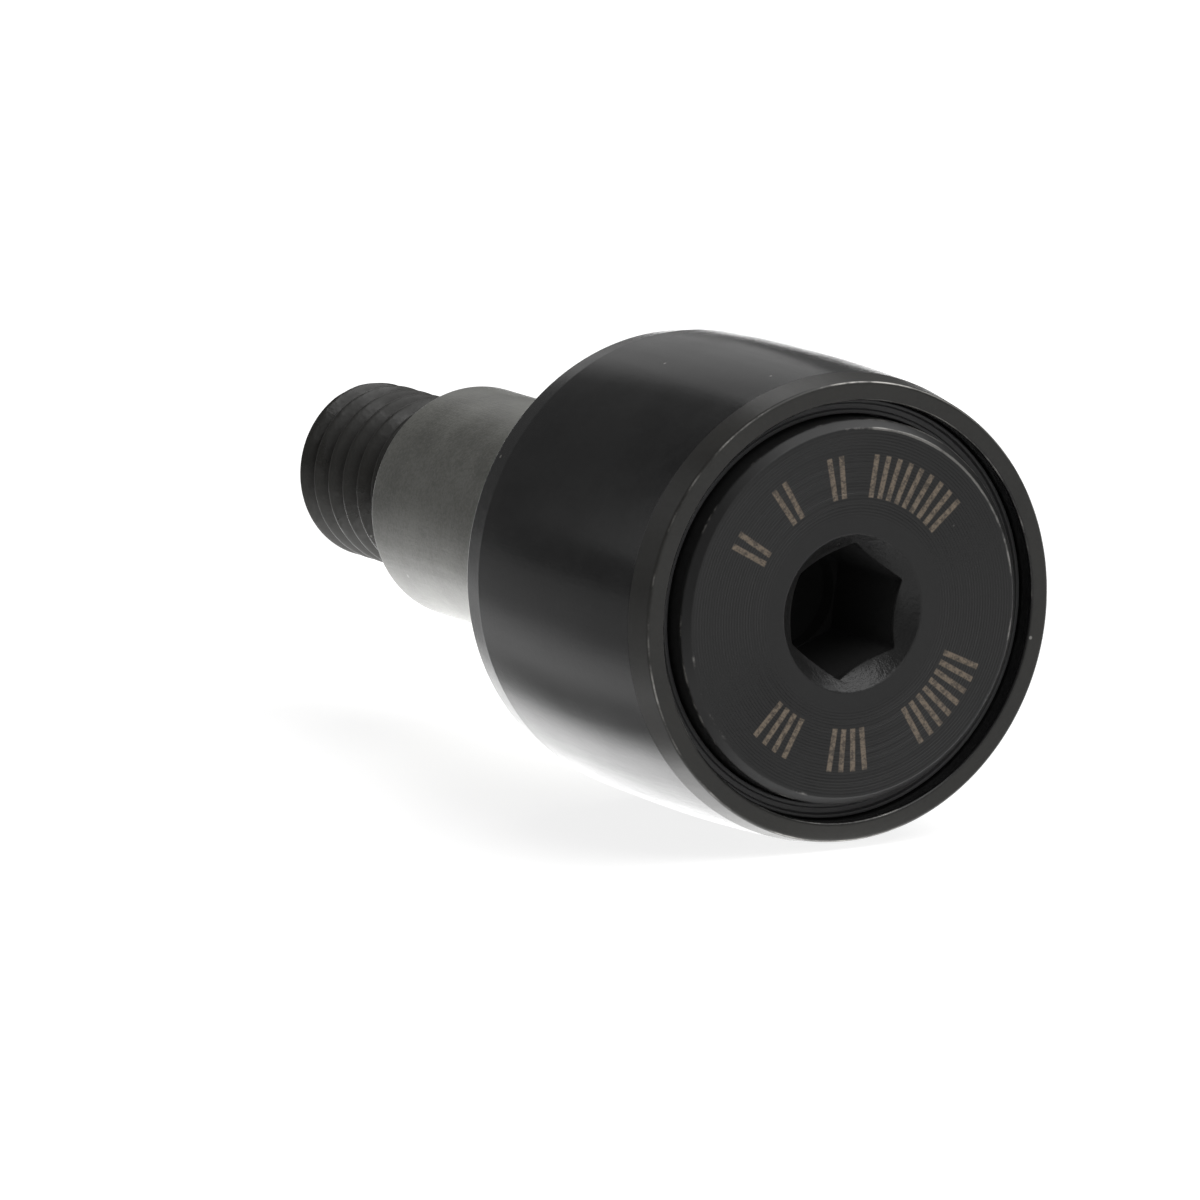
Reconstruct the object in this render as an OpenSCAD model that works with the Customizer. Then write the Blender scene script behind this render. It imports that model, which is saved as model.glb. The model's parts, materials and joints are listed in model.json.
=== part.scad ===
// Stud-type cam follower: a crowned needle-roller ring on a flanged stud with an eccentric bushing.
//
// Frame: the Y axis is the axis of the bushing and so of the hole that the follower is fitted in.
// Y = 0 is the clamp face, -Y is the head with the hex socket and +Y is the threaded end. The stud,
// and with it the roller, sits off that axis towards +X by the eccentricity.

/* [Roller] */
// Outside diameter of the roller at the middle of its crowned tread
roller_d = 12.7; // [10.5:0.1:16]
// Width of the roller
roller_w = 9.525; // [7.9:0.025:12]
// Radius of the crown along the tread
crown_r = 75; // [50:5:400]
// Radial wall left between the seal's counterbore and the roller's outside
ring_lip = 0.75; // [0.6:0.05:1]
// Drop of the rounded shoulder at each end of the tread, measured along the radius
shoulder_drop = 0.13; // [0.05:0.01:0.3]
// Width of that shoulder along the axis
shoulder_w = 0.85; // [0.4:0.05:1.5]

/* [Stud] */
// Thickness of the head
head_t = 1.4; // [1.1:0.05:1.8]
// Width of the open groove between the head and the roller
groove_w = 0.475; // [0.35:0.025:0.6]
// Bevel around the front of the head
head_bevel = 0.22; // [0.05:0.01:0.35]
// Nominal diameter of the shank and of its thread
shank_d = 4.826; // [4.1:0.01:5.2]
// Length of the stud behind the clamp face
stud_len = 15.875; // [13.3:0.025:22]
// Length of the bare thread behind the bushing
thread_len = 6.35; // [5.3:0.05:8]
// Distance between two thread crests
thread_pitch = 0.79375; // [0.5:0.00625:0.9]
// How far the head stands in front of the roller
head_proud = 0.18; // [0:0.01:0.2]
// How far the clamp face stands behind the roller
plate_proud = 0.615; // [0.4:0.005:0.8]

/* [Socket] */
// Width of the hex socket across its flats
hex_af = 3.175; // [2:0.025:3.4]
// Depth of the hex socket
hex_depth = 3.6; // [2.5:0.1:4.5]
// Angle of one corner of the hex, measured from +X towards +Z
hex_turn = 22.4; // [0:0.1:60]
// Diameter of the countersink at the socket's mouth
sink_d = 4.24; // [3.9:0.02:4.6]

/* [Eccentric bushing] */
// Outside diameter of the bushing
bushing_d = 6.35; // [6.2:0.01:7.7]
// Distance from the bushing's axis to the stud's axis
eccentricity = 0.254; // [0:0.001:0.4]

/* [Needles] */
// Number of needles in the full complement
needle_count = 14; // [12:1:15]
// Diameter of a needle
needle_d = 1.5875; // [1.4:0.0125:1.7]
// Gap between two neighbouring needles
needle_gap = 0.019; // [0.01:0.001:0.04]
// Radial clearance between a needle and each raceway
race_fit = 0.016; // [0.01:0.001:0.05]

/* [Seals and back plates] */
// Thickness of a seal's flat web
web_t = 0.3; // [0.2:0.05:0.4]
// Thickness of a back plate
plate_t = 0.3; // [0.2:0.05:0.4]
// Axial play in front of and behind each moving piece
play = 0.03; // [0.02:0.005:0.05]
// How far the front seal's rim is sunk below the roller's face
seal_sunk = 0.55; // [0.3:0.05:0.8]

/* [Hidden] */
$fn = 180;
function needle_name(index) = str("needle_", index < 10 ? "0" : "", index);
NEEDLES = [for (index = [1 : needle_count]) needle_name(index)];

// Stations along the axis
ring_front = -(roller_w + plate_proud);
ring_rear = -plate_proud;
ring_mid = (ring_front + ring_rear) / 2;
head_front = ring_front - head_proud;
head_rear = head_front + head_t;
web_front = head_rear + play;
shelf = web_front + web_t + play - ring_front;     // depth of the roller's counterbores
plate_front = ring_front + shelf + play;
needle_front = plate_front + plate_t + play;
needle_rear = ring_rear - shelf - plate_t - 2 * play;
end_plate_front = ring_rear - shelf + web_t + 2 * play;
bushing_len = stud_len - thread_len;

// Radii
ring_r = roller_d / 2;
counterbore_r = ring_r - ring_lip;
head_r = counterbore_r - groove_w;
needle_r = needle_d / 2;
pitch_r = (needle_r + needle_gap / 2) / sin(180 / needle_count);
inner_race_r = pitch_r - needle_r - race_fit;
outer_race_r = pitch_r + needle_r + race_fit;
shank_r = shank_d / 2;
thread_depth = 0.6134 * thread_pitch;
root_r = shank_r - thread_depth;
seat_step = 0.09;                                  // the end plate's seat stands above the shank
seat_r = shank_r + seat_step;
seal_fit = 0.05;                                   // radial gap of a seal's rim on the head
lip_line = [0.12, 0.08];                           // width and depth of the line around a seal

// Edge breaks, undercuts and drill points
beyond = 1;                                        // how far a cut runs past what it cuts
edge = 0.1;
bushing_edge = 0.2;
face_relief = 0.1;                                 // depth of the relief in the end plate's face
relief_r = bushing_d / 2 + eccentricity + edge;    // and its radius, which clears the bushing
relief_len = 0.55;                                 // undercut between the shank and the thread
end_bevel = 0.6;                                   // bevel on the far end of the thread
pilot_extra = 0.5;                                 // the drilled hole runs deeper than the hex
pilot_gap = 0.02;                                  // and clears the hex's flats by this much
drill_point = 0.8;                                 // depth of the cone at its end

// Colours
BLACK_OXIDE = [0.13, 0.13, 0.13];
HEAD_GREY = [0.22, 0.22, 0.22];
SLEEVE_GREY = [0.36, 0.36, 0.34];
SEAL_BLACK = [0.05, 0.05, 0.055];
BRIGHT_STEEL = [0.68, 0.69, 0.7];

// Stands its children on the stud's axis, with their Z axis along the row's Y axis.
module on_stud() {
    translate([eccentricity, 0, 0]) rotate([-90, 0, 0]) children();
}

// A plain washer or tube from y0 to y1 with bevelled outer edges.
module washer(r_in, r_out, y0, y1, bevel) {
    rotate_extrude() polygon([
        [r_in, y0], [r_out - bevel, y0], [r_out, y0 + bevel],
        [r_out, y1 - bevel], [r_out - bevel, y1], [r_in, y1]
    ]);
}

// ---- Stud ------------------------------------------------------------------------------------

// The thread is a row of V grooves with the true pitch, depth, crest and root.
thread_y0 = bushing_len + relief_len;
thread_turns = ceil((stud_len - thread_y0) / thread_pitch);
crest = thread_pitch / 8;                          // flat on top of a thread
root = thread_pitch / 4;                           // flat between two threads
flank = (thread_pitch - crest - root) / 2;
function thread_turn(y) = [
    [root_r, y], [shank_r, y + flank], [shank_r, y + flank + crest], [root_r, y + 2 * flank + crest]
];
thread_points = [for (k = [0 : thread_turns - 1]) each thread_turn(thread_y0 + k * thread_pitch)];

module stud_section() {
    intersection() {
        polygon(concat(
            [
                [0, head_front], [head_r - head_bevel, head_front],
                [head_r, head_front + head_bevel], [head_r, head_rear - edge],
                [head_r - edge, head_rear], [inner_race_r, head_rear],
                [inner_race_r, end_plate_front], [seat_r, end_plate_front],
                [seat_r, -face_relief], [shank_r, -face_relief],
                [shank_r, bushing_len - edge], [root_r, bushing_len + edge]
            ],
            thread_points,
            [[root_r, stud_len + thread_pitch], [0, stud_len + thread_pitch]]
        ));
        // this outline cuts the end bevel across the last turns of the thread
        polygon([
            [0, head_front - beyond], [ring_r, head_front - beyond],
            [ring_r, stud_len - end_bevel - (ring_r - shank_r)],
            [shank_r - end_bevel, stud_len], [0, stud_len]
        ]);
    }
}

module hex_socket() {
    hex_r = hex_af / 2 / cos(30);
    pilot_r = hex_af / 2 - pilot_gap;
    pilot_depth = hex_depth + pilot_extra;
    sink_depth = (sink_d - hex_af) / 2;
    translate([0, 0, head_front]) {
        translate([0, 0, -beyond]) rotate(-hex_turn)
            cylinder(h = hex_depth + beyond, r = hex_r, $fn = 6);
        translate([0, 0, -edge])
            cylinder(h = sink_depth + 2 * edge, r1 = sink_d / 2 + edge, r2 = hex_af / 2 - edge);
        cylinder(h = pilot_depth, r = pilot_r);
        translate([0, 0, pilot_depth]) cylinder(h = drill_point, r1 = pilot_r, r2 = edge);
    }
}

module stud() {
    color(HEAD_GREY) on_stud() difference() {
        rotate_extrude() stud_section();
        hex_socket();
    }
}

// ---- Pieces pressed on the stud --------------------------------------------------------------

// The middle of the rear face is relieved, and the bushing's end stands in that relief.
module end_plate() {
    color(BLACK_OXIDE) on_stud() difference() {
        washer(seat_r, head_r, end_plate_front, 0, edge);
        translate([0, 0, -face_relief]) cylinder(h = beyond, r = relief_r);
    }
}

module eccentric_bushing() {
    color(SLEEVE_GREY) difference() {
        rotate([-90, 0, 0]) rotate_extrude() polygon([
            [0, -face_relief], [bushing_d / 2, -face_relief],
            [bushing_d / 2, bushing_len - bushing_edge],
            [bushing_d / 2 - bushing_edge, bushing_len], [0, bushing_len]
        ]);
        on_stud() translate([0, 0, -beyond]) cylinder(h = bushing_len + 2 * beyond, r = shank_r);
    }
}

// ---- Roller ----------------------------------------------------------------------------------

// The ring's section: the crown's arc bounds the tread and runs out into a shoulder at each end.
module ring_section() {
    crown_drop = crown_r - sqrt(crown_r * crown_r - pow(roller_w / 2 - shoulder_w, 2));
    shoulder_r = ring_r - crown_drop;
    face_r = shoulder_r - shoulder_drop;
    intersection() {
        translate([ring_r - crown_r, ring_mid]) circle(r = crown_r, $fn = 720);
        polygon([
            [counterbore_r, ring_front], [face_r - edge / 2, ring_front],
            [face_r, ring_front + edge / 2], [shoulder_r, ring_front + shoulder_w],
            [ring_r + beyond, ring_front + shoulder_w], [ring_r + beyond, ring_rear - shoulder_w],
            [shoulder_r, ring_rear - shoulder_w], [face_r, ring_rear - edge / 2],
            [face_r - edge / 2, ring_rear], [counterbore_r, ring_rear],
            [counterbore_r, ring_rear - shelf], [outer_race_r, ring_rear - shelf],
            [outer_race_r, ring_front + shelf], [counterbore_r, ring_front + shelf]
        ]);
    }
}

module outer_ring() {
    color(BLACK_OXIDE) on_stud() rotate_extrude() ring_section();
}

// ---- Seals -----------------------------------------------------------------------------------

// An angle ring: the rim fills the groove around the head and the web lies behind the head.
module seal(web_y0, web_y1, rim_y) {
    rim_in = head_r + seal_fit;
    web_in = inner_race_r + seal_fit;
    rotate_extrude() difference() {
        polygon([
            [web_in, web_y0], [rim_in, web_y0], [rim_in, rim_y], [counterbore_r, rim_y],
            [counterbore_r, web_y1], [web_in, web_y1]
        ]);
        // a shallow lip line along the middle of the rim
        translate([(rim_in + counterbore_r) / 2, rim_y])
            square([lip_line[0], 2 * lip_line[1]], center = true);
    }
}

module front_seal() {
    color(SEAL_BLACK) on_stud() seal(web_front, web_front + web_t, ring_front + seal_sunk);
}

module rear_seal() {
    web_rear = end_plate_front - play;
    color(SEAL_BLACK) on_stud() seal(web_rear, web_rear - web_t, ring_rear - seal_sunk);
}

// ---- Needles and back plates -----------------------------------------------------------------

module back_plate(y0) {
    washer(inner_race_r + 2 * race_fit, outer_race_r - 2 * race_fit, y0, y0 + plate_t, edge / 2);
}

module front_back_plate() {
    color(BRIGHT_STEEL) on_stud() back_plate(plate_front);
}

module rear_back_plate() {
    color(BRIGHT_STEEL) on_stud() back_plate(needle_rear + play);
}

module needle(index) {
    turn = 360 * (index - 1) / needle_count;
    color(BRIGHT_STEEL) on_stud() rotate(turn) translate([pitch_r, 0, 0])
        washer(0, needle_r, needle_front, needle_rear, edge);
}

// ---- Assembly --------------------------------------------------------------------------------

stud();
end_plate();
eccentric_bushing();
outer_ring();
front_seal();
rear_seal();
front_back_plate();
rear_back_plate();
for (index = [1 : needle_count]) {
    needle(index);
}
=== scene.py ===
# %% [markdown]
# # A stud cam follower, piece by piece
# A cam follower is a small, very stiff wheel on its own axle. Its steel ring runs on needle
# rollers around a stud, and the stud is bolted into a machine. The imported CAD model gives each
# piece its true size and place. This lesson gives the pieces that can be seen their finished
# surfaces: turned, ground and blackened steel, a grey sleeve, a real helical thread and the seals.

# %% Open the frame
import json
import math

import bmesh
import bpy
import numpy as np
from mathutils import Matrix, Vector


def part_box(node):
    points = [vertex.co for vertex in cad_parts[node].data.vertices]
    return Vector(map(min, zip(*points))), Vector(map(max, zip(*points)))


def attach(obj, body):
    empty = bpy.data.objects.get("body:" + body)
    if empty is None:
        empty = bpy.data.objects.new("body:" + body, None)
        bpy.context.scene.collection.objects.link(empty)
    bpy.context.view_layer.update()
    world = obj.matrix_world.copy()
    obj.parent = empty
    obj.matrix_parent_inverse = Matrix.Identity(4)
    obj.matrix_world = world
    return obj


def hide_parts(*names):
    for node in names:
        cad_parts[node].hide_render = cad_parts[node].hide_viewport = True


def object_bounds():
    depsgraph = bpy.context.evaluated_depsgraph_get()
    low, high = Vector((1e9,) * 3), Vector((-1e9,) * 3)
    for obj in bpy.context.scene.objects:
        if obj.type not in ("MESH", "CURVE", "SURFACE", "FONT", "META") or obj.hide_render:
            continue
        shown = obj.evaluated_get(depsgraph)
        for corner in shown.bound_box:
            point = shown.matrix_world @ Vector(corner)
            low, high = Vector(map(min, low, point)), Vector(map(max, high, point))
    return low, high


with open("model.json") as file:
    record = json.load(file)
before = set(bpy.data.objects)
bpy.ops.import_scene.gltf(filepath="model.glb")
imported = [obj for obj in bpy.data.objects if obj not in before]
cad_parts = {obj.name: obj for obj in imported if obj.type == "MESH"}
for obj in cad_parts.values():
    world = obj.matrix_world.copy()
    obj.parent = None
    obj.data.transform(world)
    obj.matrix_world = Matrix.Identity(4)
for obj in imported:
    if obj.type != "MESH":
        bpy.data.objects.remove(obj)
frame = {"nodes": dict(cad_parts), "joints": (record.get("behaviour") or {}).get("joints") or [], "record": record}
cad_low, cad_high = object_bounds()
record = frame["record"]

# %% [markdown]
# ## Sizes and stations
# Lengths below are in millimetres, because that is how a bearing drawing reads, and each mesh is
# turned into metres as it is made. Stations are places along the stud's axis, which is the Y
# axis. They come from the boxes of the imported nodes. The few radii that a box can't give, such as
# that of a counterbore inside the ring, are written out here once.

# %% Read the stations and name the radii
MM = 0.001
INCH = 25.4


def stations(node):
    """The lowest and highest Y of a CAD node, in millimetres."""
    low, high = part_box(node)
    return low.y / MM, high.y / MM


def mount_radius(name):
    """The radius that the record gives a mount, in millimetres."""
    return next(m for m in record["mounts"] if m["name"] == name)["dims"]["r_mm"]


ring_front, ring_rear = stations("outer_ring")
head_front, stud_end = stations("stud")
plate_front, clamp_face = stations("end_plate")
bushing_end = stations("eccentric_bushing")[1]
front_rim, front_web_rear = stations("front_seal")
rear_web_front, rear_rim = stations("rear_seal")
stud_x = frame["joints"][0]["pos_m"][0] / MM       # the stud stands off the bushing's axis

roller_r = mount_radius("tread")
bushing_r = mount_radius("bushing_shank")
shank_r = mount_radius("threaded_end")

head_r = 5.125
head_bevel = 0.22
head_rear = head_front + 1.4
counterbore_r = 5.6
counterbore_depth = 1.58
inner_race_r = 2.8
outer_race_r = 4.42
seat_r = 2.503
crown_radius = 75.0
shoulder_width = 0.85
shoulder_drop = 0.13
print(f"roller {2 * roller_r:.2f} x {ring_rear - ring_front:.3f} mm")
print(f"stud axis at x {stud_x:.3f} mm")

# %% [markdown]
# ## Outlines with rounded corners
# No edge on a real turned part is perfectly sharp, and it is the small rounded edge that catches
# the light. So every section is drawn as a list of corners, each with its own rounding radius,
# and this helper puts a true arc in each corner. It also adds a point close to each end of every
# straight stretch, which keeps smooth shading from smearing the round over the flat.

# %% A helper that rounds the corners of a section
ARC_STEPS = 5
SUPPORT = 0.015
LONGEST_STEP = 0.6


def corner_arc(before, corner, after, radius):
    """Points of the arc that rounds a corner: a circle of that radius that touches both sides.

    The arc is found by turning its first radius into its last, which is a spherical blend."""
    a = (before - corner) / np.linalg.norm(before - corner)
    b = (after - corner) / np.linalg.norm(after - corner)
    half = 0.5 * math.acos(np.clip(a @ b, -1, 1))
    centre = corner + (a + b) / np.linalg.norm(a + b) * radius / math.sin(half)
    first = corner + a * radius / math.tan(half) - centre
    last = corner + b * radius / math.tan(half) - centre
    turn = math.pi - 2 * half
    t = np.linspace(0, 1, ARC_STEPS + 1)[:, None]
    return centre + (np.sin((1 - t) * turn) * first + np.sin(t * turn) * last) / math.sin(turn)


def straight_points(start, end):
    """Points between two ends of a straight stretch, the first and last close to the ends."""
    length = np.linalg.norm(end - start)
    if length < 3 * SUPPORT:
        return np.zeros((0, 2))
    count = 2 + int(length / LONGEST_STEP)
    share = np.linspace(SUPPORT, length - SUPPORT, count) / length
    return start + share[:, None] * (end - start)


def outline(corners, closed=True):
    """A section as an array of (radius, station) points.

    Its corners are given as (radius, station, rounding)."""
    corners = np.array(corners, float)
    points, rounding = corners[:, :2], corners[:, 2]
    count = len(points)
    stretches = []
    for i in range(count):
        if rounding[i] > 0:
            stretches.append(
                corner_arc(points[i - 1], points[i], points[(i + 1) % count], rounding[i])
            )
        else:
            stretches.append(points[i : i + 1])
    path = []
    for i in range(count):
        path.append(stretches[i])
        if closed or i < count - 1:
            path.append(straight_points(stretches[i][-1], stretches[(i + 1) % count][0]))
    return np.vstack(path)


# %% [markdown]
# ## From a section to a skin
# A lathe turns a section into a surface of revolution. Here that is one line of numpy: the point
# at section place s and angle t is (x0 + r(s) cos t, y(s), r(s) sin t). The grid of points then
# becomes quads. Merging doubles closes the seams and poles, and the normals are worked out again
# so that every face points outwards.

# %% Helpers that make meshes
SEGMENTS = 240
MERGE = 1e-7
HEX_TURN = math.radians(22.4)                      # angle of one corner of the hex socket
ANGLES = HEX_TURN + np.arange(SEGMENTS) * 2 * math.pi / SEGMENTS


def revolve(path, axis_x):
    """Grid of points: each (r, y) of the path is carried round the axis x = axis_x, z = 0."""
    r, y = path[:, 0:1], path[:, 1:2]
    return np.stack(
        [axis_x + r * np.cos(ANGLES), np.broadcast_to(y, (len(path), SEGMENTS)),
         r * np.sin(ANGLES)], axis=-1
    )


def quads(rows, columns, closed_rows, closed_columns=True, first=0):
    """Quads that join a grid of rows x columns points, numbered row by row from first."""
    i = np.arange(rows if closed_rows else rows - 1)[:, None]
    j = np.arange(columns if closed_columns else columns - 1)[None, :]
    a = i * columns + j
    b = i * columns + (j + 1) % columns
    c = (i + 1) % rows * columns + (j + 1) % columns
    d = (i + 1) % rows * columns + j
    return first + np.stack([a, b, c, d], axis=-1).reshape(-1, 4)


def solid(name, points, faces, body, material, stands_for=None):
    """Makes a closed mesh from millimetre points, cleans it, and puts it on its CAD body."""
    mesh = bpy.data.meshes.new(name)
    mesh.from_pydata((points.reshape(-1, 3) * MM).tolist(), [], faces.tolist())
    work = bmesh.new()
    work.from_mesh(mesh)
    bmesh.ops.remove_doubles(work, verts=work.verts, dist=MERGE)
    bmesh.ops.dissolve_degenerate(work, edges=work.edges, dist=MERGE)
    bmesh.ops.recalc_face_normals(work, faces=work.faces)
    work.to_mesh(mesh)
    work.free()
    mesh.shade_smooth()
    piece = bpy.data.objects.new(name, mesh)
    bpy.context.scene.collection.objects.link(piece)
    mesh.materials.append(material)
    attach(piece, body)
    if stands_for:
        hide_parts(stands_for)
    print(f"{name}: {len(mesh.polygons)} faces, open edges {open_edges(mesh)}")
    return piece


def open_edges(mesh):
    """How many edges don't belong to exactly two faces. A closed solid has none."""
    loops = np.zeros(len(mesh.loops), np.int32)
    mesh.loops.foreach_get("edge_index", loops)
    uses = np.bincount(loops, minlength=len(mesh.edges))
    return int((uses != 2).sum())


def turned(name, corners, body, material, stands_for=None):
    """A solid of revolution about the stud's axis, from the corners of its closed section."""
    grid = revolve(outline(corners), stud_x)
    return solid(name, grid, quads(len(grid), SEGMENTS, True), body, material, stands_for)


# %% [markdown]
# ## Node helpers
# Materials are node trees. Two short helpers keep them readable: one adds a node and fills or
# links its inputs by name, and the other adds one step of arithmetic.

# %% Helpers that build node trees
def add(tree, kind, settings=None, **inputs):
    """Adds a node. Each input is a value, or the output socket that feeds it."""
    made = tree.nodes.new(kind)
    for key, value in (settings or {}).items():
        setattr(made, key, value)
    for key, value in inputs.items():
        socket = made.inputs[key.replace("_", " ")]
        if isinstance(value, bpy.types.NodeSocket):
            tree.links.new(value, socket)
        else:
            socket.default_value = value
    return made


def calc(tree, operation, *values):
    """One Math node. Returns its output."""
    made = tree.nodes.new("ShaderNodeMath")
    made.operation = operation
    for socket, value in zip(made.inputs, values):
        if isinstance(value, bpy.types.NodeSocket):
            tree.links.new(value, socket)
        else:
            socket.default_value = value
    return made.outputs[0]


def ramp(tree, value, low, high, to_low=0.0, to_high=1.0):
    """A smooth step: value from low to high becomes to_low to to_high, eased at both ends."""
    made = add(
        tree, "ShaderNodeMapRange", {"interpolation_type": "SMOOTHSTEP"},
        Value=value, From_Min=low, From_Max=high, To_Min=to_low, To_Max=to_high
    )
    return made.outputs[0]


def blend_colour(tree, share, first, second):
    """Mixes two colours by a share from 0 to 1."""
    made = tree.nodes.new("ShaderNodeMix")
    made.data_type = "RGBA"
    for socket, value in zip((made.inputs[0], made.inputs[6], made.inputs[7]),
                             (share, first, second)):
        if isinstance(value, bpy.types.NodeSocket):
            tree.links.new(value, socket)
        else:
            socket.default_value = value
    return made.outputs[2]


def new_group(name, inputs, outputs):
    """An empty shader node group with named float or vector sockets. Returns tree, in and out."""
    tree = bpy.data.node_groups.new(name, "ShaderNodeTree")
    for label, default in inputs.items():
        kind = "NodeSocketVector" if default is None else "NodeSocketFloat"
        socket = tree.interface.new_socket(label, in_out="INPUT", socket_type=kind)
        if default is not None:
            socket.default_value = default
    for label in outputs:
        tree.interface.new_socket(label, in_out="OUTPUT", socket_type="NodeSocketFloat")
    return tree, tree.nodes.new("NodeGroupInput"), tree.nodes.new("NodeGroupOutput")


def use(tree, group, **inputs):
    """Places a node group in a material with its own values."""
    return add(tree, "ShaderNodeGroup", {"node_tree": group}, **inputs)


# %% [markdown]
# ## Round coordinates
# Every finish on this part goes round the stud: turning marks, worn edges, etched marks. So the
# first shared group turns a point into its distance from the stud's axis, its angle round it and
# its station along it, in millimetres and radians. All pieces stand at the origin, so Object
# coordinates are the row's own coordinates.

# %% Node group: round coordinates
round_place, gin, gout = new_group("round_place", {"Vector": None}, ["Radius", "Angle", "Station"])
scaled = add(round_place, "ShaderNodeVectorMath", {"operation": "SCALE"},
             Vector=gin.outputs["Vector"], Scale=1 / MM)
split = add(round_place, "ShaderNodeSeparateXYZ", Vector=scaled.outputs[0])
across = calc(round_place, "SUBTRACT", split.outputs["X"], stud_x)
squares = calc(round_place, "ADD", calc(round_place, "MULTIPLY", across, across),
               calc(round_place, "MULTIPLY", split.outputs["Z"], split.outputs["Z"]))
round_place.links.new(calc(round_place, "SQRT", squares), gout.inputs["Radius"])
round_place.links.new(calc(round_place, "ARCTAN2", split.outputs["Z"], across),
                      gout.inputs["Angle"])
round_place.links.new(split.outputs["Y"], gout.inputs["Station"])

# %% [markdown]
# ## Tool marks
# A lathe or a grinder leaves fine lines that repeat at its feed. A sine wave of the right pitch
# is the plain way to draw them. Real marks vary, so noise that is stretched along the lines makes
# some of them deeper, and a second, finer noise adds stray scratches between them. The group
# takes the place across the lines, so it serves the face of the head, where the lines are
# circles, and the tread, where they are hoops.

# %% Node group: tool marks
tool_marks, gin, gout = new_group(
    "tool_marks", {"Across": 0.0, "Pitch": 0.08, "Unevenness": 0.6}, ["Height"]
)
step = calc(tool_marks, "DIVIDE", gin.outputs["Across"], gin.outputs["Pitch"])
wave = calc(tool_marks, "SINE", calc(tool_marks, "MULTIPLY", step, 2 * math.pi))
wander = add(tool_marks, "ShaderNodeTexNoise", {"noise_dimensions": "1D"},
             W=calc(tool_marks, "MULTIPLY", step, 0.37), Scale=1.0, Detail=3.0)
depth = calc(tool_marks, "SUBTRACT", 1.0,
             calc(tool_marks, "MULTIPLY", gin.outputs["Unevenness"], wander.outputs[0]))
stray = add(tool_marks, "ShaderNodeTexNoise", {"noise_dimensions": "1D"},
            W=calc(tool_marks, "MULTIPLY", step, 1.9), Scale=1.0, Detail=4.0)
tool_marks.links.new(calc(tool_marks, "ADD", calc(tool_marks, "MULTIPLY", wave, depth),
                          calc(tool_marks, "MULTIPLY", stray.outputs[0], 1.2)),
                     gout.inputs["Height"])

# %% [markdown]
# ## Worn edges
# Blackened steel is only black at its skin. Where an edge rubs, the skin goes and bright steel
# shows in a thin broken line. Each edge of a turned part is a circle, so its distance from any
# point is easy to work out from the radius and the station. Noise breaks the line up.

# %% Node group: worn edges
edge_wear, gin, gout = new_group(
    "edge_wear",
    {"Vector": None, "Radius": 0.0, "Station": 0.0, "Edge Radius": 5.0, "Edge Station": 0.0,
     "Width": 0.1, "Kept": 0.45},
    ["Wear"],
)
off_radius = calc(edge_wear, "SUBTRACT", gin.outputs["Radius"], gin.outputs["Edge Radius"])
off_station = calc(edge_wear, "SUBTRACT", gin.outputs["Station"], gin.outputs["Edge Station"])
distance = calc(edge_wear, "SQRT", calc(
    edge_wear, "ADD", calc(edge_wear, "MULTIPLY", off_radius, off_radius),
    calc(edge_wear, "MULTIPLY", off_station, off_station)
))
near = calc(edge_wear, "SUBTRACT", 1.0, calc(edge_wear, "DIVIDE", distance,
                                             gin.outputs["Width"]))
broken = add(edge_wear, "ShaderNodeTexNoise", Vector=gin.outputs["Vector"],
             Scale=900.0, Detail=6.0, Roughness=0.65)
patches = add(edge_wear, "ShaderNodeTexNoise", Vector=gin.outputs["Vector"],
              Scale=130.0, Detail=2.0)
rubbed = calc(edge_wear, "ADD", calc(edge_wear, "MULTIPLY", broken.outputs[0], 0.5),
              calc(edge_wear, "MULTIPLY", patches.outputs[0], 0.5))
line = calc(edge_wear, "MULTIPLY", calc(edge_wear, "MAXIMUM", near, 0.0),
            calc(edge_wear, "SUBTRACT", rubbed, gin.outputs["Kept"]))
edge_wear.links.new(ramp(edge_wear, line, 0.0, 0.06), gout.inputs["Wear"])

# %% [markdown]
# ## Mottle, grain and dust
# A blackened surface is a thin film of crystals. From close by it is a little cloudy, and finely
# grained. Three scales of noise cover that: large clouds, medium blotches and a fine grain for
# the bump. Dust and lint are separate: a few small pale specks, picked out of a Voronoi pattern.

# %% Node groups: mottle, grain and dust
mottle, gin, gout = new_group("mottle", {"Vector": None, "Size": 400.0}, ["Cloud", "Grain"])
clouds = add(mottle, "ShaderNodeTexNoise", Vector=gin.outputs["Vector"],
             Scale=gin.outputs["Size"], Detail=5.0, Roughness=0.6)
fine = add(mottle, "ShaderNodeTexNoise", Vector=gin.outputs["Vector"],
           Scale=calc(mottle, "MULTIPLY", gin.outputs["Size"], 22.0), Detail=3.0, Roughness=0.7)
mottle.links.new(clouds.outputs[0], gout.inputs["Cloud"])
mottle.links.new(fine.outputs[0], gout.inputs["Grain"])

dust, gin, gout = new_group("dust", {"Vector": None, "Cell": 1500.0, "Amount": 0.03}, ["Specks"])
cells = add(dust, "ShaderNodeTexVoronoi", Vector=gin.outputs["Vector"],
            Scale=gin.outputs["Cell"], Randomness=1.0)
chosen = add(dust, "ShaderNodeSeparateColor", Color=cells.outputs["Color"])
spot = ramp(dust, cells.outputs["Distance"], 0.10, 0.22, 1.0, 0.0)
dust.links.new(
    calc(dust, "MULTIPLY", spot,
         calc(dust, "LESS_THAN", chosen.outputs[0], gin.outputs["Amount"])),
    gout.inputs["Specks"],
)

# %% [markdown]
# ## Streaks along the axis
# No grinder runs perfectly true. Faint flats run along the axis, and they break the edge of a
# reflection into streaks. Noise that is squeezed along Y draws them. The ring and the bushing
# both use it.

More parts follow.
